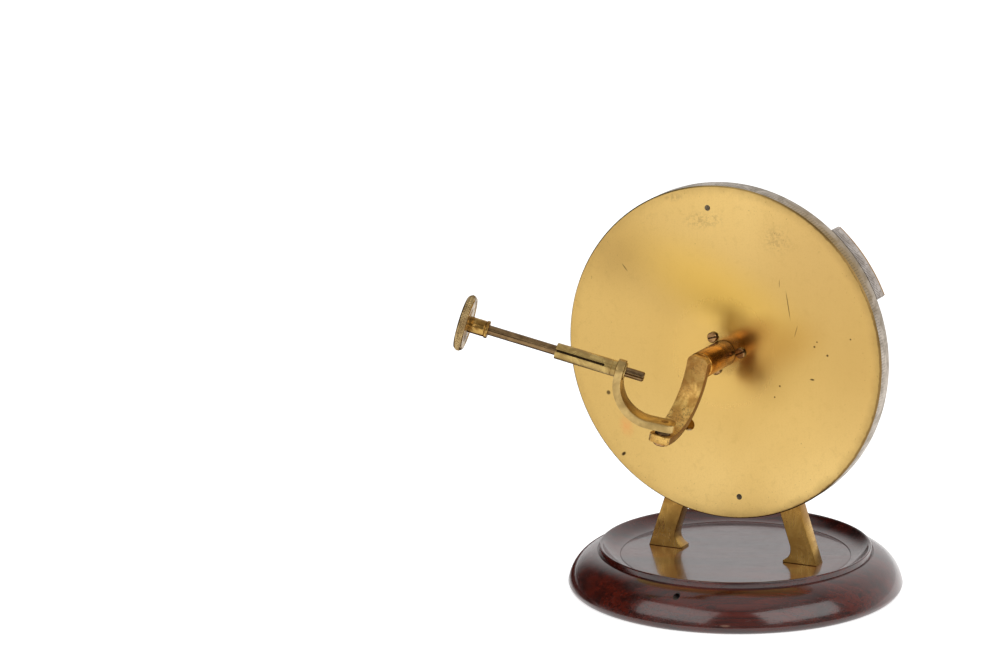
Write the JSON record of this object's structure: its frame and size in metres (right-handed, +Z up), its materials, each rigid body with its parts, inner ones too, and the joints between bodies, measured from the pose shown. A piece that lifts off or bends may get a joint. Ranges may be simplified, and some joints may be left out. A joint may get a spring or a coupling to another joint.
{
  "type": "crystallographic goniometer",
  "caption": "Reflecting goniometer with a graduated circle on a horizontal axle above a turned round base, jointed arms and a sliding pin that hold a crystal, a vernier and milled heads.",
  "frame": {"origin": "middle of the round base's underside", "axes": "+Z up, -Y to the front where the crystal is held, +X to the right as seen from the front"},
  "size_m": [0.1278, 0.1359, 0.1411],
  "materials": {
    "mahogany": "dark polished mahogany",
    "gilt_brass": "lacquered, finely brushed",
    "brass": "lacquered, lightly stained",
    "dull_brass": "toned with age",
    "orange_brass": "polished, warm lacquer",
    "silvered": "silvered, worn grey-brown",
    "steel": "blued, worn"
  },
  "bodies": {
    "stand": {"base": "mahogany", "frame": "brass", "foot_screws": "brass", "foot_washers": "dull_brass", "bearing_bush": "orange_brass", "vernier_arm": "brass", "vernier_screws": "steel", "vernier_scale": "silvered", "stop_lever_screw": "steel"},
    "stop_catch": {"stop_lever": "brass"},
    "circle": {"circle_plate": "gilt_brass", "circle_rim": "gilt_brass", "scale_band": "silvered", "stop_pins": "steel", "hollow_axle": "dull_brass", "hub_screws": "steel", "circle_head": "dull_brass", "ring_nut": "brass"},
    "carrier": {"inner_axle": "steel", "spindle": "orange_brass", "inner_arm": "brass", "pivot_washer": "brass", "axle_head": "dull_brass", "axle_head_screw": "steel"},
    "swing_arm": {"outer_arm": "dull_brass", "pivot_screw": "steel"},
    "sleeve": {"split_sleeve": "dull_brass"},
    "pin": {"crystal_pin": "steel", "knob_boss": "gilt_brass", "pin_knob": "dull_brass"}
  },
  "joints": [
    {"name": "stop_catch_turn", "type": "hinge", "parent": "stand", "child": "stop_catch", "pos_m": [0.01414, -0.0079, 0.0511], "axis": [0, -1, 0], "range_deg": [-31, 15]},
    {"name": "circle_turn", "type": "hinge", "parent": "stand", "child": "circle", "pos_m": [0, -0.0027, 0.0841], "axis": [0, -1, 0], "continuous": true},
    {"name": "axle_turn", "type": "hinge", "parent": "circle", "child": "carrier", "pos_m": [0, -0.0027, 0.0841], "axis": [0, -1, 0], "continuous": true},
    {"name": "arm_swing", "type": "hinge", "parent": "carrier", "child": "swing_arm", "pos_m": [0, -0.051, 0.0841], "axis": [-0.1908, 0, -0.9816], "range_deg": [-184.5, 35.5]},
    {"name": "pin_turn", "type": "hinge", "parent": "swing_arm", "child": "sleeve", "pos_m": [-0.01663, -0.05568, 0.08693], "axis": [-0.928, -0.2664, 0.2603], "continuous": true},
    {"name": "pin_slide", "type": "slide", "parent": "sleeve", "child": "pin", "axis": [0.928, 0.2664, -0.2603], "range_m": [-0.01, 0.022]}
  ]
}
